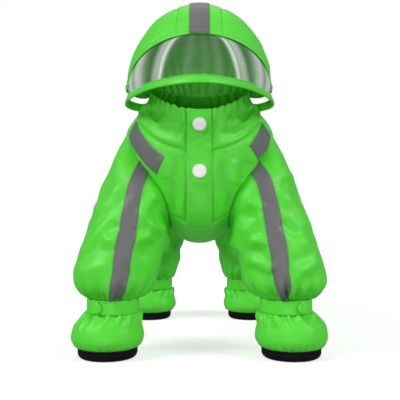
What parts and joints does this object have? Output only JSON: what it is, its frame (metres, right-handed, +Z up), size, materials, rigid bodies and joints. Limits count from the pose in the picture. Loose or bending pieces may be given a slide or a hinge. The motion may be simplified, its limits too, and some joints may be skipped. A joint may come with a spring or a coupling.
{
  "type": "dog rain suit",
  "caption": "Hooded rain suit for a small dog: a body tube with four legs, gathered boots on rubber soles, a clear face visor, reflective tapes and a snap front.",
  "frame": {"origin": "on the ground, under the middle of the suit's box, which stands on its four soles", "axes": "+Z up, -Y the way the suit faces, +X the wearer's left; the suit's length runs along Y"},
  "size_m": [0.282, 0.4466, 0.3893],
  "materials": {
    "coated_cloth": "green coated polyester, semi-gloss",
    "reflective_tape": "grey retro-reflective tape, satin",
    "clear_film": "clear PVC film, glossy",
    "sole_rubber": "black moulded rubber, matt",
    "white_snap": "white moulded snap cap",
    "green_snap": "green moulded snap cap"
  },
  "bodies": {
    "root": {"belly": "coated_cloth", "back": "coated_cloth", "chest_left": "coated_cloth", "chest_right": "coated_cloth", "collar_left": "coated_cloth", "collar_right": "coated_cloth", "placket": "coated_cloth", "snap_upper": "white_snap", "snap_lower": "white_snap", "tape_shoulder_left": "reflective_tape", "tape_shoulder_right": "reflective_tape", "sleeve_left": "coated_cloth", "sleeve_right": "coated_cloth", "tape_leg_left": "reflective_tape", "tape_leg_right": "reflective_tape", "hind_leg_left": "coated_cloth", "hind_leg_right": "coated_cloth", "boot_front_left": "coated_cloth", "boot_front_right": "coated_cloth", "boot_hind_left": "coated_cloth", "boot_hind_right": "coated_cloth", "sole_front_left": "sole_rubber", "sole_front_right": "sole_rubber", "sole_hind_left": "sole_rubber", "sole_hind_right": "sole_rubber", "strap_front_left": "coated_cloth", "strap_front_right": "coated_cloth", "strap_hind_left": "coated_cloth", "strap_hind_right": "coated_cloth", "strap_snap_front_left": "green_snap", "strap_snap_front_right": "green_snap", "strap_snap_hind_left": "green_snap", "strap_snap_hind_right": "green_snap", "hood_centre": "coated_cloth", "hood_left": "coated_cloth", "hood_right": "coated_cloth", "tape_hood": "reflective_tape", "visor": "clear_film", "visor_binding": "coated_cloth"}
  },
  "joints": []
}
